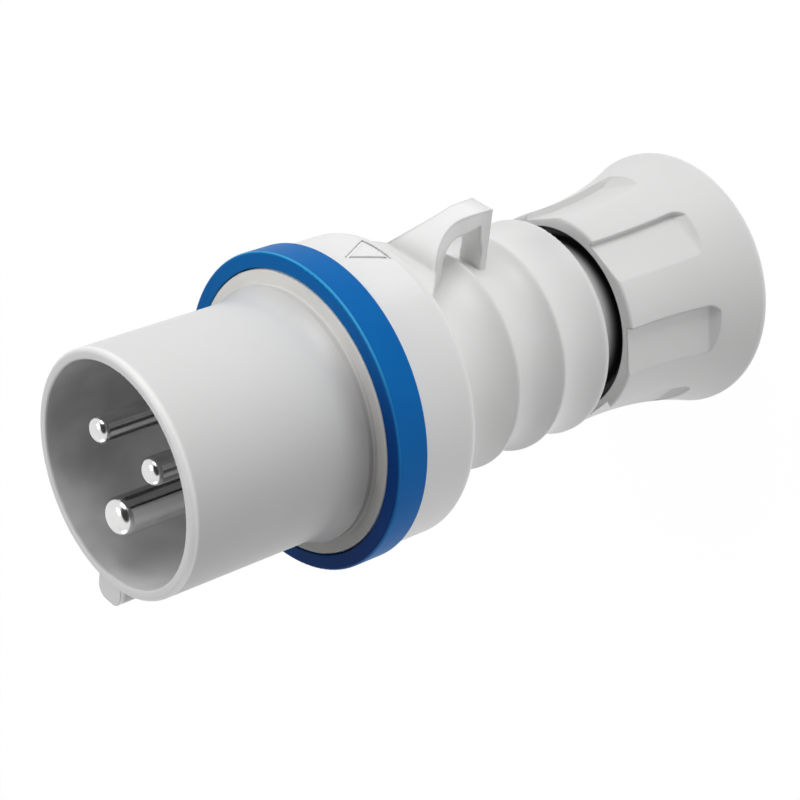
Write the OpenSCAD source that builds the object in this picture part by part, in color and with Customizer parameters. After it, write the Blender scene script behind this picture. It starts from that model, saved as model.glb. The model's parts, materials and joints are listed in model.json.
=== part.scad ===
// Industrial pin and sleeve plug, two poles and earth, with a screwed cord gland.
// The plug stands on the rear lip of its gland nut. +Z runs along the axis towards the pins,
// +Y points to the hanging loop and -Y to the key and the earth pin. Sizes are in millimetres.

/* [Sleeve] */
// Outer radius of the sleeve
sleeve_r = 22; // [21:0.1:23]
// Wall of the sleeve
sleeve_wall = 2; // [1.4:0.1:2.6]
// Depth of the sleeve from its mouth to the base wall
sleeve_depth = 38; // [34:0.5:44]
// Thickness of the base wall that the pins pass through
base_wall = 4; // [3:0.1:5]
// Width of the key along the sleeve
key_w = 6.2; // [4.4:0.1:7]
// Height of the key above the sleeve
key_h = 3.7; // [3:0.1:5]
// Radial height of the flared bead at the foot of the sleeve
bead_h = 1.4; // [0.8:0.1:2]

/* [Flange and ring] */
// Radius of the flange disc
flange_r = 26; // [25:0.1:27]
// Thickness of the flange disc
flange_t = 4.6; // [3.4:0.1:6]
// Wall of the skirt behind the flange
skirt_wall = 3; // [2:0.1:3.6]
// Length of the skirt behind the flange
skirt_len = 10; // [7:0.5:11]
// Wall of the colour ring outside the flange
ring_wall = 2.85; // [2.3:0.05:4.5]
// Lip of the colour ring behind the flange
ring_lip = 1.9; // [1.4:0.1:2.4]
// Open joint between the flange and the colour ring
ring_gap = 0.25; // [0.1:0.05:0.5]

/* [Pins] */
// Radius of the circle that the pins stand on
pin_circle_r = 8.67; // [8.4:0.01:9.2]
// Radius of the line and neutral pins
pin_r = 2.5; // [2.2:0.1:2.8]
// Radius of the earth pin
earth_r = 3.5; // [3.1:0.1:3.8]
// Depth of the line and neutral tips below the mouth
pin_recess = 1.2; // [0.5:0.1:8]
// Depth of the earth tip below the mouth
earth_recess = 0.2; // [0.1:0.1:6]
// Radius of the terminal barrel of a line or neutral pin
barrel_r = 4.2; // [3.8:0.1:4.5]
// Radius of the terminal barrel of the earth pin
earth_barrel_r = 4.6; // [4.2:0.1:4.8]
// Length of the terminal barrels
barrel_len = 12.5; // [10:0.5:13]
// Radius of the wire hole in a barrel
wire_r = 1.9; // [1.5:0.1:2.2]
// Radius of the terminal screws
terminal_screw_r = 1.7; // [1.4:0.05:1.9]

/* [Pin retainer] */
// Radius of the retainer plate
retainer_r = 18.5; // [17.5:0.1:20]
// Thickness of the retainer plate
retainer_t = 3; // [2:0.1:4]
// Thickness of the partition walls between the terminals
partition_t = 1.2; // [0.8:0.1:1.6]

/* [Front screws] */
// Radius of the circle that the front screws stand on
screw_circle_r = 14; // [13.8:0.1:14.6]
// Shank radius of the front screws
screw_r = 1.7; // [1.4:0.1:2]
// Head radius of the front screws
screw_head_r = 3; // [2.6:0.1:3.2]

/* [Handle] */
// Radius of the collar
collar_r = 28.2; // [27.6:0.1:28.6]
// Length of the collar
collar_len = 12.8; // [11.5:0.1:16]
// Rounding of the collar's rear shoulder
collar_round = 2.2; // [1:0.1:2.6]
// Length of the grip from the collar to the rear rim
grip_len = 39.5; // [38:0.5:44]
// Radius of the grip's ridges next to the collar
ridge_front_r = 21.4; // [20.8:0.1:22]
// Distance from the rear rim to the front ridge
ridge_front = 23.3; // [22:0.1:24.5]
// Distance from the rear rim to the rear ridge
ridge_rear = 11.7; // [10.5:0.1:13]
// Radius of the grip's rear rim
rim_r = 21; // [20.4:0.1:21.3]
// Width of the rear rim
rim_w = 1; // [0.6:0.1:1.6]
// Width of the crest of a ridge
crest_w = 0.5; // [0.3:0.1:1]
// Depth of the front scallop
scallop_front = 3; // [2:0.1:3.2]
// Depth of the middle scallop
scallop_mid = 2.4; // [1.4:0.1:2.8]
// Depth of the rear scallop
scallop_rear = 1.15; // [0.8:0.05:2.4]
// Radius of the chamber inside the grip
chamber_r = 15.6; // [14.6:0.1:16]
// Radius of the threaded spigot
spigot_r = 17.5; // [17:0.1:17.6]
// Radius of the plain neck between the thread and the rear rim
neck_r = 15.6; // [15:0.1:17]
// Length of the threaded spigot behind the rear rim
spigot_len = 17.7; // [17:0.1:17.9]

/* [Hanging loop] */
// Height of the loop's top above the axis
loop_top = 30.5; // [29.6:0.1:31.5]
// Height of the loop's foot beside the collar
loop_foot = 23.9; // [23:0.1:24.6]
// Bend radius of the loop's back
loop_bend = 14.2; // [13:0.1:15]
// Half of the loop's width where it is narrowest
loop_half_w = 2.2; // [1.8:0.1:2.6]
// Half of the loop's width at its rear post
post_half_w = 2.7; // [2.2:0.1:3.2]
// Half of the loop's width at the collar
foot_half_w = 12.6; // [11:0.1:13.6]
// Distance from the collar to the rear of the post
loop_len = 22.2; // [21:0.1:24]
// Thickness of the rear post at its top
post_t = 2.5; // [1.8:0.1:3]
// Thickness of the loop above its hole
loop_t = 2.7; // [2:0.1:3.2]

/* [Cord gland] */
// Inner radius of the spigot's bore
gland_bore_r = 12.6; // [12:0.1:13]
// Radius of the cord hole in the grommet
cord_r = 5.5; // [4:0.1:6.4]
// Length of the grommet
grommet_len = 15.6; // [12:0.1:16]
// Number of fingers on the clamp cage
finger_n = 8; // [6:1:12]
// Slot between two fingers
finger_gap = 1.6; // [1:0.1:2.2]

/* [Gland nut] */
// Length of the nut
nut_len = 33.3; // [33:0.1:36]
// Open gap between the nut and the rear rim
nut_gap = 6.4; // [6.4:0.1:7]
// Radius of the nut's front
nut_r = 20.7; // [20.4:0.05:21.4]
// Radius of the nut's rear flare
flare_r = 25.5; // [24.4:0.1:26.5]
// Length of the nut's straight front
nut_straight = 3.3; // [2:0.1:9]
// Radius of the cord throat
throat_r = 9.6; // [9.4:0.1:10]
// Depth of the rear funnel
funnel_h = 8.2; // [6:0.1:8.4]
// Number of flutes
flute_n = 7; // [5:1:8]
// Width of a flute
flute_w = 9.2; // [7:0.1:10.5]
// Depth of a flute's flat floor below the nut's round outside
flute_depth = 1.3; // [0.8:0.1:1.5]
// Angle that turns a flute's floor so that one side is a steep wall
flute_tilt = 7.5; // [4:0.5:9]
// Distance from the rear lip to the flutes' closed ends
flute_end = 10.4; // [8.5:0.1:14]

/* [Hidden] */
$fn = 96;

// Clearances
over = 1;
seat_gap = 0.05;
slip_gap = 0.3;

// Directions round the axis
line_ang = 30;
neutral_ang = 150;
earth_ang = -90;
screw_angs = [-30, 210];

// Stations along the axis, from the rear lip of the nut
rim_z = nut_len + nut_gap;
collar_z = rim_z + grip_len;
collar_front = collar_z + collar_len;
ring_z = collar_front + 0.1;
flange_z = ring_z + ring_lip + seat_gap;
base_z = flange_z + base_wall;
mouth_z = base_z + sleeve_depth;
disc_z = flange_z + flange_t;
skirt_z = flange_z - skirt_len;
spigot_z = rim_z - spigot_len;

// Sleeve and flange
sleeve_in = sleeve_r - sleeve_wall;
rim_round = sleeve_wall * 0.42;
key_drop = 0.3;
key_round = 2.1;
bead_r = sleeve_r + bead_h;
bead_top = disc_z + 1.6;
bead_curve = 7;
bead_rise = 4.2;
flange_round = 0.4;
ring_r = flange_r + ring_gap + ring_wall;
ring_round = 0.6;
skirt_r = flange_r - 1.5;
seal_w = 1.8;
seal_z = skirt_z + 3.2;
seal_depth = 1.6;

// Pins and terminals
collet_t = 2.4;
collet_extra = 0.6;
pin_seat = 0.3;
pin_dome = 1.5;
earth_dome = 2;
barrel_floor = 2;
barrel_top = flange_z - collet_t;
terminal_z = barrel_top - barrel_len + 5.2;
pad_t = 0.5;
terminal_head_r = 2.9;
terminal_head_t = 1.8;
slot_w = 0.8;
slot_d = 1;
head_gap = 0.5;
pad_seat = 0.1;

// Retainer and front screws
retainer_top = flange_z - collet_t - seat_gap;
retainer_z = retainer_top - retainer_t;
partition_len = 7.6;
partition_w = 12.4;
partition_side_w = 7.4;
retainer_screw_r = 1.5;
retainer_head_r = 2.8;
retainer_screw_len = 8;
screw_head_t = 2;
screw_len = 26;
head_seat_z = base_z - screw_head_t - 0.4;
boss_r = 3.4;
boss_len = 27.4;
boss_floor = 5;

// Handle
chamber_z = collar_z + 2.2;
rim_edge = 0.4;
neck_len = 10;
loop_z = collar_z - loop_len;
loop_foot_r = chamber_r + 1.6;
bend_z = loop_z + 4.1;
side_z = loop_z + 8;
side_r = 9.6;
hole_r = 4.8;
hole_z = loop_z + 6.2;
hole_slope = 0.24;
post_draft = 0.13;
front_bore_r = skirt_r + slip_gap;
grip_split = [collar_z, rim_z + ridge_front, rim_z + ridge_rear, rim_z + rim_w];
ledge_t = 2;
ledge_r = 8.5;
cage_bore_r = gland_bore_r + 1;
cage_seat_z = spigot_z + 3.2;
washer_t = 1;
washer_hole = 1.8;
groove_r = 1.2;
grommet_z = cage_seat_z + washer_t + 0.2;
ledge_z = grommet_z + grommet_len + seat_gap;
boss_top = retainer_z - seat_gap;
mark_z = collar_z + 2.6;
mark_half_w = 4;
mark_len = 7.3;
mark_depth = 0.3;
mark_line = 0.5;

// Gland nut
nut_travel = nut_gap - 0.4;
front_bore = spigot_r + 0.6;
front_bore_len = 2.2;
funnel_lip = 1.7;
nut_edge = 0.5;
thread_bore = spigot_r + slip_gap;
thread_z = spigot_z - nut_travel - 0.5;
ring_seat_r = 15;
ring_seat_z = 9.8;
pressure_r = ring_seat_r - slip_gap;
pressure_top = spigot_z - nut_travel - 0.8;
pressure_cone_r = 13.6;
finger_tip_z = ring_seat_z + slip_gap + nut_travel + 0.2;
finger_tip_r = throat_r - 0.3;
finger_t = 1.8;
lip_round = 1.5;
flute_corner = 3.4;
flute_fade = 0.6;
flute_scoop = 5;
scoop_z = flute_end + flute_scoop;
flute_angs = [for (i = [0:flute_n - 1]) 58 - i * 360 / flute_n];
waist_z = nut_len - nut_straight;
flare_z = lip_round + 0.4;
flare_curve = ((waist_z - flare_z) ^ 2 + (flare_r - nut_r) ^ 2) / (2 * (flare_r - nut_r));

// Radius of an arc from its chord and its depth
function arc_r(chord, depth) = (chord * chord / 4 + depth * depth) / (2 * depth);
// Radius of the grip's envelope at a height
function grip_r(z) = rim_r + (ridge_front_r - rim_r) * (z - rim_z) / grip_len;
// Radius of the nut's flare at a height
function nut_at(z) = nut_r + flare_curve - sqrt(flare_curve ^ 2 - (waist_z - z) ^ 2);
// Point at a radius and an angle
function polar(r, a) = [r * cos(a), r * sin(a), 0];

// What is cut from a square corner to round it, with the arc's centre at the origin
module corner(r) {
    difference() {
        square(r + over);
        circle(r);
    }
}

// Half section of a plain ring
module band(r0, r1, z0, z1) {
    translate([r0, z0])
        square([r1 - r0, z1 - z0]);
}

module sleeve_section() {
    difference() {
        band(sleeve_in, sleeve_r, base_z - over, mouth_z);
        translate([sleeve_r - rim_round, mouth_z - rim_round])
            corner(rim_round);
        translate([sleeve_in + rim_round / 2, mouth_z - rim_round / 2])
            mirror([1, 0])
                corner(rim_round / 2);
    }
}

module bead_section() {
    difference() {
        band(sleeve_r - over, bead_r, disc_z - over, bead_top + bead_rise + over);
        translate([sleeve_r + bead_curve, bead_top + bead_rise])
            circle(bead_curve);
        band(sleeve_r, bead_r + over, bead_top + bead_rise, bead_top + bead_rise + 2 * over);
    }
}

module flange_section() {
    difference() {
        band(sleeve_in - over, flange_r, flange_z, disc_z);
        translate([flange_r - flange_round, disc_z - flange_round])
            corner(flange_round);
    }
    difference() {
        band(skirt_r - skirt_wall, skirt_r, skirt_z, flange_z + over);
        band(skirt_r - seal_depth, skirt_r + over, seal_z, seal_z + seal_w + 2 * seat_gap);
    }
}

module key() {
    key_y = -sleeve_r - key_h;
    translate([0, 0, disc_z])
        linear_extrude(mouth_z - disc_z - key_drop)
            difference() {
                translate([-key_w / 2, key_y])
                    square([key_w, key_h + sleeve_wall / 2]);
                for (s = [0, 1])
                    mirror([s, 0])
                        translate([key_w / 2 - key_round, key_y + key_round])
                            mirror([0, 1])
                                corner(key_round);
            }
}

module shroud() {
    color([0.86, 0.86, 0.85])
        difference() {
            union() {
                rotate_extrude() {
                    sleeve_section();
                    bead_section();
                    flange_section();
                    band(0, sleeve_in + over / 2, flange_z, base_z);
                }
                key();
            }
            for (a = [line_ang, neutral_ang])
                translate(polar(pin_circle_r, a) + [0, 0, flange_z - over])
                    cylinder(r = pin_r + pin_seat + seat_gap, h = base_wall + 2 * over);
            translate(polar(pin_circle_r, earth_ang) + [0, 0, flange_z - over])
                cylinder(r = earth_r + pin_seat + seat_gap, h = base_wall + 2 * over);
            for (a = screw_angs)
                translate(polar(screw_circle_r, a)) {
                    translate([0, 0, flange_z - over])
                        cylinder(r = screw_r + slip_gap, h = base_wall + 2 * over);
                    translate([0, 0, head_seat_z])
                        cylinder(r = screw_head_r + slip_gap, h = screw_head_t + over);
                }
            translate([0, 0, flange_z - over])
                cylinder(r = retainer_screw_r, h = base_wall);
        }
}

module colour_ring() {
    color([0.02, 0.33, 0.65])
        rotate_extrude()
            difference() {
                band(flange_r + ring_gap, ring_r, ring_z, disc_z);
                translate([ring_r - ring_round, disc_z - ring_round])
                    corner(ring_round);
                translate([ring_r - ring_round / 2, ring_z + ring_round / 2])
                    mirror([0, 1])
                        corner(ring_round / 2);
            }
    color([0.02, 0.33, 0.65])
        rotate_extrude()
            band(skirt_r + slip_gap, ring_r - over, ring_z, ring_z + ring_lip);
}

module body_seal() {
    color([0.1, 0.1, 0.1])
        rotate_extrude()
            band(skirt_r - seal_depth + seat_gap, front_bore_r - seat_gap,
                seal_z + seat_gap, seal_z + seat_gap + seal_w);
}

// A turned pin on its own axis, with its collar and its terminal barrel
module pin(r, tip_z, b_r, tip_round) {
    color([0.78, 0.78, 0.8])
        difference() {
            rotate_extrude() {
                difference() {
                    band(0, r, flange_z, tip_z);
                    translate([r - tip_round, tip_z - tip_round])
                        corner(tip_round);
                }
                band(0, r + pin_seat, flange_z - over, base_z);
                band(0, b_r + collet_extra, flange_z - collet_t, flange_z);
                band(0, b_r, barrel_top - barrel_len, barrel_top + over);
            }
            translate([0, 0, barrel_top - barrel_len - over])
                cylinder(r = wire_r, h = barrel_len - barrel_floor + over);
            translate([0, 0, terminal_z])
                rotate([0, 90, 0])
                    cylinder(r = terminal_screw_r + seat_gap, h = b_r + over);
        }
}

// Terminal screw of the barrel, pointing along +X from the barrel's axis
module terminal_screw(b_r) {
    head_x = b_r + head_gap;
    tip_x = wire_r + pad_t + 2 * seat_gap + pad_seat;
    color([0.8, 0.78, 0.72])
        translate([0, 0, terminal_z])
            rotate([0, 90, 0])
                difference() {
                    union() {
                        translate([0, 0, tip_x])
                            cylinder(r = terminal_screw_r, h = head_x - tip_x + slot_d);
                        translate([0, 0, head_x])
                            cylinder(r = terminal_head_r, h = terminal_head_t);
                    }
                    translate([-slot_w / 2, -terminal_head_r - over, head_x + terminal_head_t - slot_d])
                        cube([slot_w, 2 * terminal_head_r + 2 * over, slot_d + over]);
                }
}

module pressure_pad() {
    color([0.75, 0.6, 0.3])
        translate([wire_r + pad_seat, 0, terminal_z])
            rotate([0, 90, 0])
                cylinder(r = terminal_screw_r - pad_seat, h = pad_t);
}

// Places a pin's piece at its angle round the axis
module at_pin(a) {
    translate(polar(pin_circle_r, a))
        rotate([0, 0, a])
            children();
}

module line_pin() {
    at_pin(line_ang)
        pin(pin_r, mouth_z - pin_recess, barrel_r, pin_dome);
}

module neutral_pin() {
    at_pin(neutral_ang)
        pin(pin_r, mouth_z - pin_recess, barrel_r, pin_dome);
}

module earth_pin() {
    at_pin(earth_ang)
        pin(earth_r, mouth_z - earth_recess, earth_barrel_r, earth_dome);
}

module line_terminal_screw() {
    at_pin(line_ang)
        terminal_screw(barrel_r);
}

module neutral_terminal_screw() {
    at_pin(neutral_ang)
        terminal_screw(barrel_r);
}

module earth_terminal_screw() {
    at_pin(earth_ang)
        terminal_screw(earth_barrel_r);
}

module line_pressure_pad() {
    at_pin(line_ang)
        pressure_pad();
}

module neutral_pressure_pad() {
    at_pin(neutral_ang)
        pressure_pad();
}

module earth_pressure_pad() {
    at_pin(earth_ang)
        pressure_pad();
}

module pin_retainer() {
    color([0.2, 0.2, 0.22])
        difference() {
            union() {
                translate([0, 0, retainer_z])
                    cylinder(r = retainer_r, h = retainer_t);
                for (a = [90, screw_angs[0], screw_angs[1]])
                    rotate([0, 0, a])
                        translate([retainer_head_r - over, -partition_t / 2, retainer_z - partition_len])
                            cube([a == 90 ? partition_w : partition_side_w, partition_t,
                                partition_len + over]);
            }
            for (a = [line_ang, neutral_ang])
                translate(polar(pin_circle_r, a) + [0, 0, retainer_z - over])
                    cylinder(r = barrel_r + seat_gap, h = retainer_t + 2 * over);
            translate(polar(pin_circle_r, earth_ang) + [0, 0, retainer_z - over])
                cylinder(r = earth_barrel_r + seat_gap, h = retainer_t + 2 * over);
            for (a = screw_angs)
                translate(polar(screw_circle_r, a) + [0, 0, retainer_z - over])
                    cylinder(r = screw_r + slip_gap, h = retainer_t + 2 * over);
            translate([0, 0, retainer_z - partition_len - over])
                cylinder(r = retainer_screw_r + slip_gap, h = partition_len + retainer_t + 2 * over);
            translate([0, 0, retainer_z - partition_len - over])
                cylinder(r = retainer_head_r + slip_gap, h = partition_len + over);
        }
}

// A slotted screw with its head's underside at the origin, its shank along -Z
module screw(r, len, head_r, head_t) {
    difference() {
        union() {
            translate([0, 0, -len])
                cylinder(r = r, h = len + over / 2);
            cylinder(r = head_r, h = head_t);
        }
        translate([-head_r - over, -slot_w / 2, head_t - slot_d])
            cube([2 * head_r + 2 * over, slot_w, slot_d + over]);
    }
}

module retainer_screw() {
    color([0.8, 0.8, 0.78])
        translate([0, 0, retainer_z - seat_gap])
            mirror([0, 0, 1])
                screw(retainer_screw_r - seat_gap, retainer_screw_len, retainer_head_r, terminal_head_t);
}

module front_screws() {
    color([0.8, 0.8, 0.78])
        for (a = screw_angs)
            translate(polar(screw_circle_r, a) + [0, 0, head_seat_z + seat_gap])
                screw(screw_r, screw_len, screw_head_r, screw_head_t);
}

module scallop(z0, z1, depth) {
    r = arc_r(z1 - z0, depth);
    translate([grip_r((z0 + z1) / 2) - depth + r, (z0 + z1) / 2])
        circle(r);
}

module handle_section() {
    difference() {
        band(0, collar_r, collar_z, collar_front);
        translate([collar_r - collar_round, collar_z + collar_round])
            mirror([0, 1])
                corner(collar_round);
    }
    difference() {
        polygon([[0, rim_z], [rim_r, rim_z], [ridge_front_r, collar_z], [ridge_front_r, collar_z + over],
            [0, collar_z + over]]);
        translate([rim_r - rim_edge, rim_z + rim_edge])
            mirror([0, 1])
                corner(rim_edge);
        scallop(grip_split[1] + crest_w / 2, grip_split[0] - crest_w, scallop_front);
        scallop(grip_split[2] + crest_w / 2, grip_split[1] - crest_w / 2, scallop_mid);
        scallop(grip_split[3], grip_split[2] - crest_w / 2, scallop_rear);
    }
    band(0, spigot_r, spigot_z, rim_z - neck_len);
    band(0, neck_r, rim_z - neck_len - over, rim_z + over);
}

// Side view of the loop, with its hole: the first axis is the height above the plug's axis
module loop_side() {
    hole_top = loop_top - loop_t;
    hole_y = hole_top - hole_slope * (hole_z + hole_r * sin(atan(hole_slope)) - loop_z - post_t)
        - hole_r * cos(atan(hole_slope));
    difference() {
        union() {
            difference() {
                translate([loop_foot_r, loop_z])
                    square([loop_top - loop_foot_r, bend_z + loop_bend - loop_z]);
                translate([loop_top - loop_bend, bend_z])
                    corner(loop_bend);
            }
            translate([loop_foot_r, hole_z + hole_r])
                square([loop_foot - loop_foot_r, collar_z + over - hole_z - hole_r]);
        }
        translate([hole_y, hole_z])
            circle(hole_r);
        polygon([[hole_top, loop_z + post_t],
            [hole_top - hole_slope * (hole_z - loop_z - post_t) - 0.1, hole_z],
            [hole_y, hole_z + hole_r - 0.02], [loop_foot_r - over, hole_z + hole_r - 0.02],
            [loop_foot_r - over, loop_z + post_t - post_draft * (hole_top - loop_foot_r)]]);
    }
}

// Top view of the loop: a narrow strap that flares towards the collar
module loop_plan() {
    turn_x = loop_half_w + side_r * (1 - cos(45)) + 0.1;
    turn_z = side_z + side_r * sin(45) - 0.1;
    difference() {
        polygon([[-post_half_w, loop_z], [post_half_w, loop_z], [loop_half_w + 0.1, side_z],
            [turn_x, turn_z], [foot_half_w, collar_z], [foot_half_w, collar_z + over],
            [-foot_half_w, collar_z + over], [-foot_half_w, collar_z], [-turn_x, turn_z],
            [-loop_half_w - 0.1, side_z]]);
        for (s = [-1, 1])
            translate([s * (loop_half_w + side_r), side_z])
                circle(side_r);
    }
}

module hanging_loop() {
    intersection() {
        translate([-foot_half_w - over, 0, 0])
            rotate([90, 0, 90])
                linear_extrude(2 * foot_half_w + 2 * over)
                    loop_side();
        translate([0, loop_top + over, 0])
            rotate([90, 0, 0])
                linear_extrude(loop_top + 2 * over - loop_foot_r)
                    loop_plan();
    }
}

// Alignment mark: a triangle engraved as a thin line
module align_mark() {
    side = atan(mark_len / mark_half_w);
    in_w = mark_half_w - mark_line / tan(side / 2);
    in_top = mark_z + mark_len - mark_line / cos(side);
    in_z = mark_z + mark_line;
    intersection() {
        translate([0, collar_r + over, 0])
            rotate([90, 0, 0])
                linear_extrude(collar_r)
                    difference() {
                        polygon([[-mark_half_w, mark_z], [mark_half_w, mark_z], [0, mark_z + mark_len]]);
                        polygon([[-in_w, in_z], [in_w, in_z], [0, in_top]]);
                    }
        rotate_extrude()
            band(collar_r - mark_depth, collar_r + over, collar_z, collar_front);
    }
}

module handle() {
    color([0.86, 0.86, 0.85])
        difference() {
            union() {
                difference() {
                    rotate_extrude()
                        handle_section();
                    translate([0, 0, chamber_z])
                        cylinder(r = front_bore_r, h = collar_front - chamber_z + over);
                    translate([0, 0, ledge_z + ledge_t])
                        cylinder(r = chamber_r, h = chamber_z - ledge_z);
                    translate([0, 0, ledge_z - over])
                        cylinder(r = ledge_r, h = ledge_t + 2 * over);
                    translate([0, 0, spigot_z - over])
                        cylinder(r = gland_bore_r, h = ledge_z - spigot_z + over);
                    translate([0, 0, spigot_z - over])
                        cylinder(r = cage_bore_r, h = cage_seat_z - spigot_z + over);
                    align_mark();
                }
                hanging_loop();
                for (a = screw_angs)
                    translate(polar(screw_circle_r, a) + [0, 0, boss_top - boss_len])
                        cylinder(r = boss_r, h = boss_len);
            }
            for (a = screw_angs)
                translate(polar(screw_circle_r, a) + [0, 0, boss_top - boss_len + boss_floor])
                    cylinder(r = screw_r + seat_gap, h = boss_len);
        }
}

module grommet() {
    color([0.15, 0.15, 0.15])
        rotate_extrude()
            difference() {
                band(cord_r, gland_bore_r - slip_gap, grommet_z, grommet_z + grommet_len);
                for (i = [1:3])
                    translate([gland_bore_r - slip_gap + groove_r / 2, grommet_z + i * grommet_len / 4])
                        circle(groove_r);
            }
}

module grommet_washer() {
    color([0.75, 0.75, 0.78])
        rotate_extrude()
            band(cord_r + washer_hole, gland_bore_r - slip_gap, cage_seat_z + 0.1,
                cage_seat_z + 0.1 + washer_t);
}

module clamp_cage() {
    root_r = cage_bore_r - slip_gap;
    root_t = 3;
    root_z = spigot_z + 0.4;
    color([0.9, 0.9, 0.88])
        difference() {
            rotate_extrude() {
                band(root_r - root_t, root_r, root_z, cage_seat_z);
                polygon([[finger_tip_r - finger_t, finger_tip_z], [finger_tip_r, finger_tip_z],
                    [root_r - root_t + finger_t, root_z + over / 2], [root_r - root_t, root_z + over / 2]]);
            }
            for (i = [0:finger_n - 1])
                rotate([0, 0, i * 360 / finger_n])
                    translate([0, -finger_gap / 2, finger_tip_z - over])
                        cube([root_r + over, finger_gap, root_z - finger_tip_z + over + 0.2]);
        }
}

module pressure_ring() {
    low_z = ring_seat_z + seat_gap;
    color([0.92, 0.92, 0.9])
        rotate_extrude()
            polygon([[throat_r, low_z], [pressure_r, low_z], [pressure_r, pressure_top],
                [pressure_cone_r, pressure_top]]);
}

// Half section of the nut's outside
module nut_outline() {
    difference() {
        band(0, nut_r, 0, nut_len);
        translate([nut_r - nut_edge, nut_len - nut_edge])
            corner(nut_edge);
    }
    difference() {
        band(nut_r - over, flare_r, 0, waist_z);
        translate([nut_r + flare_curve, waist_z])
            circle(flare_curve, $fn = 360);
        translate([flare_r - lip_round, lip_round])
            mirror([0, 1])
                corner(lip_round);
    }
}

// Side view of what a flute takes away: its floor follows the nut's outside and ends in a scoop
module flute_side() {
    floor_r = nut_r - flute_depth;
    floor_z = waist_z - over;
    difference() {
        band(floor_r, flare_r + over, flute_end, nut_len + over);
        difference() {
            band(floor_r - over, flare_r + 2 * over, flute_end - over, floor_z);
            translate([floor_r + flare_curve, floor_z])
                circle(flare_curve, $fn = 360);
        }
        translate([nut_at(scoop_z) - flute_depth + flute_scoop - flute_fade, scoop_z])
            rotate(180)
                corner(flute_scoop);
    }
}

// Front view of a flute: a slot that is open at the nut's front and has a rounded end
module flute_front() {
    translate([0, flute_end])
        difference() {
            translate([-flute_w / 2 - flute_fade, 0])
                square([flute_w + flute_fade, nut_len]);
            translate([flute_w / 2 - flute_corner, flute_corner])
                mirror([0, 1])
                    corner(flute_corner);
            translate([flute_corner - flute_w / 2 - flute_fade, flute_corner])
                rotate(180)
                    corner(flute_corner);
        }
}

module flute() {
    intersection() {
        translate([nut_r - 5, 0, 0])
            rotate([90, 0, 90])
                linear_extrude(flare_r)
                    flute_front();
        rotate([0, 0, flute_tilt])
            translate([0, flute_w, 0])
                rotate([90, 0, 0])
                    linear_extrude(2 * flute_w)
                        flute_side();
    }
}

module gland_nut() {
    color([0.86, 0.86, 0.85])
        difference() {
            rotate_extrude()
                nut_outline();
            translate([0, 0, thread_z])
                cylinder(r = thread_bore, h = nut_len);
            translate([0, 0, nut_len - front_bore_len])
                cylinder(r = front_bore, h = front_bore_len + over);
            translate([0, 0, ring_seat_z])
                cylinder(r = ring_seat_r, h = nut_len);
            translate([0, 0, -over])
                cylinder(r = throat_r, h = nut_len);
            translate([0, 0, -seat_gap])
                cylinder(r1 = flare_r - lip_round - funnel_lip, r2 = throat_r - seat_gap, h = funnel_h);
            for (a = flute_angs)
                rotate([0, 0, a])
                    flute();
        }
}

shroud();
colour_ring();
body_seal();
line_pin();
neutral_pin();
earth_pin();
line_terminal_screw();
neutral_terminal_screw();
earth_terminal_screw();
line_pressure_pad();
neutral_pressure_pad();
earth_pressure_pad();
pin_retainer();
retainer_screw();
front_screws();
handle();
grommet();
grommet_washer();
clamp_cage();
pressure_ring();
gland_nut();
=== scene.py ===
# Industrial pin and sleeve plug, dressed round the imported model.
import json
import math

import bpy
from mathutils import Matrix, Vector

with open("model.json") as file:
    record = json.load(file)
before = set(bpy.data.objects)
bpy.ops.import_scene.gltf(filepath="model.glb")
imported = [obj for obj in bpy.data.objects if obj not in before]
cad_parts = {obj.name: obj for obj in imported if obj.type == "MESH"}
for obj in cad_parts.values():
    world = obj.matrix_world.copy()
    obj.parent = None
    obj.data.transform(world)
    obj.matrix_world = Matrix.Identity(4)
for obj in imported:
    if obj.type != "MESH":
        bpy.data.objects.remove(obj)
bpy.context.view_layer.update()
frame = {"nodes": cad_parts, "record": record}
mm = 0.001  # pieces and camera are sized in millimetres, floor and lamps in metres


# Wraps a shader socket, so that maths on it reads as maths.
class Sock:
    def __init__(self, tree, socket):
        self.tree = tree
        self.socket = socket

    def make(self, kind, settings=None, ins=None, out=0):
        node = self.tree.nodes.new(kind)
        for name, value in (settings or {}).items():
            setattr(node, name, value)
        for name, value in (ins or {}).items():
            if isinstance(value, Sock):
                self.tree.links.new(value.socket, node.inputs[name])
            else:
                node.inputs[name].default_value = value
        return Sock(self.tree, node.outputs[out])

    def maths(self, operation, other=0.0):
        return self.make("ShaderNodeMath", {"operation": operation}, {0: self, 1: other})

    def __add__(self, other):
        return self.maths("ADD", other)

    def __radd__(self, other):
        return self.maths("ADD", other)

    def __sub__(self, other):
        return self.maths("SUBTRACT", other)

    def __rsub__(self, other):
        return self.make("ShaderNodeMath", {"operation": "SUBTRACT"}, {0: other, 1: self})

    def __mul__(self, other):
        return self.maths("MULTIPLY", other)

    def __rmul__(self, other):
        return self.maths("MULTIPLY", other)

    # 0 below low, 1 above high, with a soft step between
    def step(self, low, high):
        ins = {"Value": self, "From Min": low, "From Max": high}
        return self.make("ShaderNodeMapRange", {"interpolation_type": "SMOOTHSTEP"}, ins)

    # The first colour where this is 0, the second where it is 1
    def mixed(self, first, second):
        return self.make("ShaderNodeMix", {"data_type": "RGBA"}, {0: self, 6: first, 7: second}, out=2)

    def vectorMaths(self, operation, other=(0, 0, 0), out=0):
        return self.make("ShaderNodeVectorMath", {"operation": operation}, {0: self, 1: other}, out=out)

    def dot(self, other):
        return self.vectorMaths("DOT_PRODUCT", other, out="Value")

    def coordinates(self):
        first = self.make("ShaderNodeSeparateXYZ", {}, {"Vector": self})
        return [Sock(self.tree, socket) for socket in first.socket.node.outputs]


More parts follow.
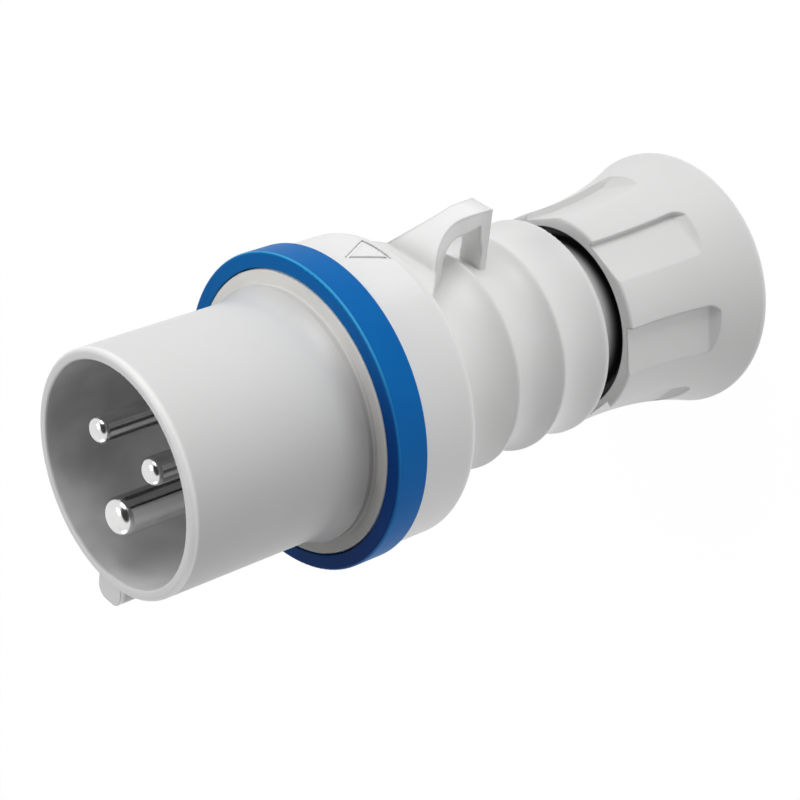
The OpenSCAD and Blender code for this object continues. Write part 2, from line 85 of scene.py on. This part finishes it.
# How softly masks and tones change, for all materials
soft = {
    "cloudStart": 0.3, "cloudEnd": 0.7, "coarseDetail": 2.0, "fineDetail": 3.0,
    "bevelSamples": 6, "edgeStart": 0.01, "edgeEnd": 0.25, "edgeHighlightShare": 0.6, "edgeGloss": 0.08, "edgeMatt": 0.04,
    "radiusFade": 0.2, "outerFade": 3, "tipFade": 0.2, "bandOutside": 1.4, "bandInside": 0.6,
}


def rgb(red, green, blue):
    return (red, green, blue, 1.0)


def startMaterial(name, look):
    material = bpy.data.materials.new(name)
    material.use_nodes = True
    tree = material.node_tree
    shader = tree.nodes["Principled BSDF"]
    for socketName, value in look.items():
        shader.inputs[socketName].default_value = value
    return material, tree, shader


def objectPlace(tree):
    return Sock(tree, tree.nodes.new("ShaderNodeTexCoord").outputs["Object"])


def feed(tree, shader, socketName, value):
    tree.links.new(value.socket, shader.inputs[socketName])


def noise(place, size, detail):
    return place.make("ShaderNodeTexNoise", {}, {"Vector": place, "Scale": 1 / (size * mm), "Detail": detail})


# Slow clouds between two tones
def clouded(cloud, dark, light):
    return cloud.step(soft["cloudStart"], soft["cloudEnd"]).mixed(dark, light)


def bump(height, strength, distance, base):
    ins = {"Height": height, "Strength": strength, "Distance": distance * mm, "Normal": base}
    return height.make("ShaderNodeBump", {}, ins)


# Normals that turn softly over the edges, and a mask of where they do
def softEdges(place, radius):
    turned = place.make("ShaderNodeBevel", {"samples": soft["bevelSamples"]}, {"Radius": radius * mm})
    sharp = place.make("ShaderNodeNewGeometry", out="Normal")
    return turned, (1 - turned.dot(sharp)).step(soft["edgeStart"], soft["edgeEnd"])


# 1 inside a radius round the plug's axis and between two heights, with soft ends. Where a zone has an outer
# distance, only what stands further out than that towards the loop is inside.
def within(place, zone):
    x, y, z = place.coordinates()
    fromAxis = (x * x + y * y).maths("SQRT")
    inside = 1 - fromAxis.step(zone["radius"] * mm, (zone["radius"] + soft["radiusFade"]) * mm)
    for height, fade, above in ((zone["low"], zone["lowFade"], True), (zone["high"], zone["highFade"], False)):
        past = z.step((height - fade) * mm, (height + fade) * mm)
        inside = inside * (past if above else 1 - past)
    if "outer" in zone:
        inside = inside * y.step(zone["outer"] * mm, (zone["outer"] + soft["outerFade"]) * mm)
    return inside


# 1 on the side of an upright axis that an aim points to, with a soft change round the axis
def onSide(place, aim, start, end, centre=(0, 0, 0)):
    flat = place.vectorMaths("SUBTRACT", centre).vectorMaths("MULTIPLY", (1, 1, 0))
    return flat.vectorMaths("NORMALIZE").dot(aim).step(start, end)


# Satin moulded plastic: a fine spark-eroded grain, slow flow marks, slightly uneven gloss and a painted
# highlight on its edges. Its zones have tones of their own, most of them painted light and shade, and a later
# zone covers an earlier one.
def mouldedPlastic(name, values):
    look = {"IOR": values["ior"], "Specular IOR Level": values["shine"]}
    material, tree, shader = startMaterial(name, look)
    place = objectPlace(tree)
    grain = noise(place, values["grainSize"], soft["fineDetail"])
    flow = noise(place, values["flowSize"], soft["coarseDetail"])
    turned, edge = softEdges(place, values["edgeRadius"])
    tone = clouded(flow, values["dark"], values["light"])
    # Painted highlight: the edges are lightened towards the edge highlight tone
    tone = (edge * soft["edgeHighlightShare"]).mixed(tone, values["edgeHighlight"])
    for zone in values.get("zones", []):
        inside = within(place, zone)
        if "side" in zone:
            inside = inside * onSide(place, zone["side"], zone["sideStart"], zone["sideEnd"])
        cloud = noise(place, zone["cloudSize"], soft["coarseDetail"])
        tone = inside.mixed(tone, clouded(cloud, zone["dark"], zone["light"]))
    feed(tree, shader, "Base Color", tone)
    feed(tree, shader, "Roughness", flow * values["glossSwing"] + values["rough"] - edge * soft["edgeGloss"])
    feed(tree, shader, "Normal", bump(grain, values["grainStrength"], values["grainDepth"], turned))
    return material


# 1 in a band of painted reflection along a pin's shaft, which ends below the domed tip
def alongShaft(place, values, turn, halfWidth):
    aim = (math.cos(math.radians(turn)), math.sin(math.radians(turn)), 0)
    start = math.cos(math.radians(halfWidth * soft["bandOutside"]))
    end = math.cos(math.radians(halfWidth * soft["bandInside"]))
    centre = [value * mm for value in values["centre"]]
    height = place.coordinates()[2]
    tip = height.step(values["shaftEnd"] * mm, (values["shaftEnd"] + soft["tipFade"]) * mm)
    return onSide(place, aim, start, end, centre) * (1 - tip)


# Plated or plain metal with a slight smear and fine scratches, and light and dark bands of painted reflection
# along a pin's shaft. A band has its turn round the pin and its half width in degrees, its painted tone and the
# roughness that it adds.
def turnedMetal(name, values):
    material, tree, shader = startMaterial(name, {"Metallic": 1.0})
    place = objectPlace(tree)
    smear = noise(place, values["smearSize"], soft["fineDetail"])
    scratch = noise(place, values["scratchSize"], soft["coarseDetail"])
    turned, edge = softEdges(place, values["edgeRadius"])
    tone = clouded(smear, values["dark"], values["light"])
    rough = smear * values["roughSwing"] + values["rough"] + edge * soft["edgeMatt"]
    for turn, halfWidth, reflectionTone, bandRough in values.get("reflectionBands", []):
        inside = alongShaft(place, values, turn, halfWidth)
        tone = inside.mixed(tone, rgb(reflectionTone, reflectionTone, reflectionTone))
        rough = rough + inside * bandRough
    feed(tree, shader, "Base Color", tone)
    feed(tree, shader, "Roughness", rough)
    feed(tree, shader, "Normal", bump(scratch, values["scratchStrength"], values["scratchDepth"], turned))
    return material


bodyPlastic = {
    "light": rgb(0.79, 0.79, 0.785), "dark": rgb(0.775, 0.775, 0.77), "edgeHighlight": rgb(0.83, 0.83, 0.825),
    "grainSize": 0.35, "flowSize": 18, "rough": 0.34, "glossSwing": 0.08, "shine": 0.45, "ior": 1.5,
    "grainStrength": 0.12, "grainDepth": 0.02, "edgeRadius": 0.7,
}

# Shroud: heights of its zones are measured from the nut's rear lip, the mouth is at 136.05
sleevePlastic = {
    "light": rgb(0.755, 0.755, 0.75), "dark": rgb(0.745, 0.745, 0.74), "edgeRadius": 0.35,
}
sleeveBottom = (0.643, -0.766, 0)
lowerSide = {"side": (0.906, -0.423, 0), "sideStart": -0.1, "sideEnd": 0.85}
sleeveShade = {
    "dark": rgb(0.49, 0.49, 0.49), "light": rgb(0.51, 0.51, 0.51), "cloudSize": 12,
    "radius": 40, "low": 99.3, "lowFade": 0.25, "high": 150, "highFade": 1,
    "side": sleeveBottom, "sideStart": -0.5, "sideEnd": 1.4,
}
# Painted light: the flange disc lighter and warmer than the body, warm against the blue light that the ring
# bounces onto it; flangeShade is its shaded copy on the lower side
flangePaintedLight = {
    "dark": rgb(0.83, 0.82, 0.80), "light": rgb(0.88, 0.87, 0.845), "cloudSize": 9,
    "radius": 26.2, "low": 80, "lowFade": 1, "high": 99.3, "highFade": 0.25,
}
# Painted shade: the sleeve's foot darker all round where it meets the flange, and warmer against the ring's blue
# bounce light
footCreaseShade = {
    "dark": rgb(0.66, 0.655, 0.635), "light": rgb(0.70, 0.695, 0.675), "cloudSize": 9,
    "radius": 23.45, "low": 99.3, "lowFade": 0.25, "high": 102.5, "highFade": 2.5,
}
flangeShade = {
    **flangePaintedLight, **lowerSide, "dark": rgb(0.52, 0.515, 0.505), "light": rgb(0.56, 0.555, 0.545),
}
footShade = {
    **footCreaseShade, **lowerSide, "dark": rgb(0.29, 0.29, 0.29), "light": rgb(0.32, 0.32, 0.32),
    "high": 102.2, "highFade": 3.4,
}
# Painted light: the mouth's lip lighter than the rest of the sleeve
rimPaintedLight = {
    "dark": rgb(0.93, 0.93, 0.925), "light": rgb(0.95, 0.95, 0.945), "cloudSize": 9,
    "radius": 40, "low": 134.9, "lowFade": 0.4, "high": 150, "highFade": 1,
}
sleeveInside = {
    "dark": rgb(0.56, 0.56, 0.565), "light": rgb(0.78, 0.78, 0.785), "cloudSize": 12,
    "radius": 20.1, "low": 97.8, "lowFade": 0.3, "high": 150, "highFade": 1,
}
insideLit = {
    **sleeveInside, "dark": rgb(0.93, 0.93, 0.93), "light": rgb(0.95, 0.95, 0.95),
    "low": 108, "lowFade": 10, "side": sleeveBottom, "sideStart": 0.55, "sideEnd": 1.05,
}
shroudZones = [sleeveShade, flangePaintedLight, footCreaseShade, flangeShade, footShade, rimPaintedLight, sleeveInside, insideLit]

# Handle and nut: painted shade, the gland's inside is painted near black where it lies in deep shadow
glandShade = {"dark": rgb(0.015, 0.015, 0.015), "light": rgb(0.02, 0.02, 0.02), "cloudSize": 7}
neckPaintedShade = {**glandShade, "radius": 17.7, "low": 0, "lowFade": 1, "high": 33.6, "highFade": 2.2}
nutPaintedShade = {**glandShade, "radius": 18.15, "low": 12, "lowFade": 0.3, "high": 34, "highFade": 0.3}
gripPlastic = {
    "light": rgb(0.81, 0.81, 0.805), "dark": rgb(0.79, 0.79, 0.785), "edgeHighlight": rgb(0.98, 0.98, 0.975),
    "edgeRadius": 1.0,
}
# Painted light: the loop lighter than the rest of the handle
loopPaintedLight = {
    "dark": rgb(0.92, 0.92, 0.915), "light": rgb(0.94, 0.94, 0.935), "cloudSize": 9,
    "radius": 40, "low": 59, "lowFade": 2, "high": 76, "highFade": 4, "outer": 23.2,
}
# Painted light: the engraved mark lightened so that the shade in its grooves is fainter
markPaintedLight = {
    "dark": rgb(0.98, 0.98, 0.975), "light": rgb(0.98, 0.98, 0.975), "cloudSize": 9,
    "radius": 28.08, "low": 81.6, "lowFade": 0.1, "high": 91, "highFade": 0.3,
    "side": (0, 1, 0), "sideStart": 0.85, "sideEnd": 0.95,
}

# Blue ring: a painted highlight as a light line on the front edge, and painted shade on the lower side
bluePlastic = {
    "light": rgb(0.0, 0.145, 0.47), "dark": rgb(0.0, 0.13, 0.44), "edgeHighlight": rgb(0.03, 0.36, 0.74),
    "rough": 0.42, "shine": 0.08, "edgeRadius": 0.16,
}
ringEdgeHighlight = {
    "dark": rgb(0.04, 0.36, 0.68), "light": rgb(0.06, 0.42, 0.74), "cloudSize": 9,
    "radius": 40, "low": 98.2, "lowFade": 0.1, "high": 98.5, "highFade": 0.08,
}
ringEdgeShade = {
    **ringEdgeHighlight, **lowerSide, "dark": rgb(0.01, 0.14, 0.42), "light": rgb(0.01, 0.17, 0.46),
}
ringShade = {
    **lowerSide, "dark": rgb(0.0, 0.042, 0.21), "light": rgb(0.0, 0.046, 0.23), "cloudSize": 9,
    "radius": 40, "low": 98.5, "lowFade": 0.1, "high": 120, "highFade": 1,
}

# Inner pieces
darkPlastic = {
    "light": rgb(0.05, 0.05, 0.055), "dark": rgb(0.04, 0.04, 0.045), "edgeHighlight": rgb(0.07, 0.07, 0.075),
}
cagePlastic = {
    "light": rgb(0.7, 0.7, 0.66), "dark": rgb(0.66, 0.66, 0.62), "edgeHighlight": rgb(0.75, 0.75, 0.7),
    "edgeRadius": 0.2,
}
sealRubber = {
    "light": rgb(0.02, 0.02, 0.02), "dark": rgb(0.015, 0.015, 0.015), "edgeHighlight": rgb(0.04, 0.04, 0.04),
    "rough": 0.6,
}
zinc = {
    "light": rgb(0.6, 0.6, 0.58), "dark": rgb(0.5, 0.5, 0.48), "smearSize": 3, "scratchSize": 0.3,
    "rough": 0.28, "roughSwing": 0.1, "scratchStrength": 0.2, "scratchDepth": 0.01, "edgeRadius": 0.15,
}
brass = {**zinc, "light": rgb(0.75, 0.55, 0.25), "dark": rgb(0.6, 0.42, 0.18)}

# Pins: their bands are painted reflections, light and dark along the shafts
nickel = {
    "light": rgb(0.80, 0.795, 0.79), "dark": rgb(0.68, 0.675, 0.67), "smearSize": 6, "scratchSize": 0.4,
    "rough": 0.12, "roughSwing": 0.08, "scratchStrength": 0.1, "scratchDepth": 0.01, "edgeRadius": 0.4,
}
linePin = {
    **nickel, "shaftEnd": 133.1, "centre": (7.508, 4.335, 0),
    "reflectionBands": [(-14, 11, 0.35, 0), (7, 7, 1.0, 0.35), (23, 4, 0.3, 0), (38, 9, 1.0, 0.2)],
}
neutralPin = {**linePin, "centre": (-7.508, 4.335, 0)}
earthPin = {
    **nickel, "shaftEnd": 133.6, "centre": (0, -8.67, 0),
    "reflectionBands": [(23, 22, 1.0, 0.4), (52, 2.6, 0.1, 0), (84.5, 7, 0.3, 0)],
}

# By node name, or else by the slot that the record gives the node
materials = {
    "shroud": mouldedPlastic("sleevePlastic", {**bodyPlastic, **sleevePlastic, "zones": shroudZones}),
    "handle": mouldedPlastic(
        "handlePlastic", {**bodyPlastic, **gripPlastic, "zones": [loopPaintedLight, neckPaintedShade, markPaintedLight]}),
    "gland_nut": mouldedPlastic("nutPlastic", {**bodyPlastic, "zones": [nutPaintedShade]}),
    "ring_blue": mouldedPlastic(
        "bluePlastic", {**bodyPlastic, **bluePlastic, "zones": [ringEdgeHighlight, ringEdgeShade, ringShade]}),
    "insulator": mouldedPlastic("darkPlastic", {**bodyPlastic, **darkPlastic}),
    "cage_plastic": mouldedPlastic("cagePlastic", {**bodyPlastic, **cagePlastic}),
    "seal_rubber": mouldedPlastic("sealRubber", {**bodyPlastic, **sealRubber}),
    "line_pin": turnedMetal("linePlate", linePin),
    "neutral_pin": turnedMetal("neutralPlate", neutralPin),
    "earth_pin": turnedMetal("earthPlate", earthPin),
    "screw_steel": turnedMetal("zincSteel", zinc),
    "pad_brass": turnedMetal("padBrass", brass),
}
slotOf = {entry["node"]: entry["material_slot"] for entry in frame["record"]["subparts"]}
for name, node in frame["nodes"].items():
    material = materials.get(name) or materials[slotOf[name]]
    node.data.materials.clear()
    node.data.materials.append(material)
print("stage: materials on the packed nodes")


# Fitted to the outlines in the photograph
photoCamera = {
    "place": (254.3, 208.2, 322.15), "right": (0.6544, 0.0988, -0.7497), "up": (-0.4453, 0.8517, -0.2764),
    "back": (0.6112, 0.5147, 0.6013), "lens": 102.0, "sensor": 36, "nearest": 10,
}
lamps = {
    "keyLamp": {"place": (0.0, 0.95, 0.2), "target": (0, 0, 0.07), "size": 0.6, "power": 4.7},
    "fillLamp": {"place": (0.85, 0.1, 0.1), "target": (0, 0, 0.05), "size": 0.5, "power": 0.2},
    "rimLamp": {"place": (0.15, -0.9, 0.35), "target": (0, 0, 0.07), "size": 0.5, "power": 1.1},
    "mouthLamp": {"place": (-0.15, 0.2, 0.9), "target": (0, 0, 0.12), "size": 0.3, "power": 2.0},
}
# The floor's glow is a share of the mix: nearly all of it for the camera and reflections, less for the light
# that it gives, so that it keeps the plug's shadow
floorValues = {
    "size": 12, "drop": 0.0001, "tone": 0.8, "rough": 0.9, "glow": 1.045, "glowSeen": 0.93, "glowLight": 0.65,
}
# White where the camera, a reflection or glass sees it, and a soft light on the plug, with one dark card that
# gives the plated pins their contrast
worldValues = {
    "seen": 1.0, "light": 0.17,
    "cardAim": (0.66, 0.50, 0.56), "cardStart": 0.70, "cardEnd": 0.82, "cardDark": 0.95,
}


def addCamera(values):
    data = bpy.data.cameras.new("photoCamera")
    camera = bpy.data.objects.new("photoCamera", data)
    bpy.context.scene.collection.objects.link(camera)
    axes = [Vector(values[side]) for side in ("right", "up", "back")]
    turn = Matrix(axes).transposed().to_4x4()
    camera.matrix_world = Matrix.Translation(Vector(values["place"]) * mm) @ turn
    data.lens = values["lens"]
    data.sensor_width = values["sensor"]
    data.sensor_fit = "HORIZONTAL"
    data.clip_start = values["nearest"] * mm
    bpy.context.scene.camera = camera


def addLamp(name, values):
    data = bpy.data.lights.new(name, "AREA")
    data.size = values["size"]
    data.energy = values["power"]
    lamp = bpy.data.objects.new(name, data)
    bpy.context.scene.collection.objects.link(lamp)
    lamp.location = values["place"]
    aim = Vector(values["target"]) - Vector(values["place"])
    lamp.rotation_euler = aim.to_track_quat("-Z", "Y").to_euler()


# Masks of the rays of the camera, of reflections and through glass
def rayKinds(tree):
    path = tree.nodes.new("ShaderNodeLightPath")
    return [Sock(tree, path.outputs[kind]) for kind in ("Is Camera Ray", "Is Glossy Ray", "Is Transmission Ray")]


def addFloor(values):
    bpy.ops.object.select_all(action="DESELECT")
    bpy.ops.mesh.primitive_plane_add(size=values["size"], location=(0, 0, -values["drop"]))
    floor = bpy.context.object
    floor.name = "studioFloor"
    look = {"Base Color": rgb(values["tone"], values["tone"], values["tone"]), "Roughness": values["rough"]}
    material, tree, shader = startMaterial("studioFloor", look)
    glow = tree.nodes.new("ShaderNodeEmission")
    glow.inputs["Strength"].default_value = values["glow"]
    camera, mirrored, through = rayKinds(tree)
    seen = camera.maths("MAXIMUM", mirrored).maths("MAXIMUM", through)
    share = seen * (values["glowSeen"] - values["glowLight"]) + values["glowLight"]
    mixer = tree.nodes.new("ShaderNodeMixShader")
    tree.links.new(share.socket, mixer.inputs[0])
    tree.links.new(shader.outputs[0], mixer.inputs[1])
    tree.links.new(glow.outputs[0], mixer.inputs[2])
    tree.links.new(mixer.outputs[0], tree.nodes["Material Output"].inputs["Surface"])
    floor.data.materials.append(material)


def addWorld(values):
    world = bpy.data.worlds.new("studioWorld")
    bpy.context.scene.world = world
    world.use_nodes = True
    tree = world.node_tree
    background = tree.nodes["Background"]
    background.inputs["Color"].default_value = rgb(1, 1, 1)
    camera, mirrored, through = rayKinds(tree)
    aim = camera.make("ShaderNodeTexCoord", out="Generated")
    card = aim.dot(values["cardAim"]).step(values["cardStart"], values["cardEnd"])
    direct = camera.maths("MAXIMUM", through)
    bright = direct.maths("MAXIMUM", mirrored * (1 - card * values["cardDark"]))
    dim = 1 - direct.maths("MAXIMUM", mirrored)
    strength = bright * values["seen"] + dim * values["light"]
    tree.links.new(strength.socket, background.inputs["Strength"])


addCamera(photoCamera)
for name, values in lamps.items():
    addLamp(name, values)
addFloor(floorValues)
addWorld(worldValues)
bpy.context.scene.view_settings.view_transform = "Standard"
print("stage: camera, lamps and floor")
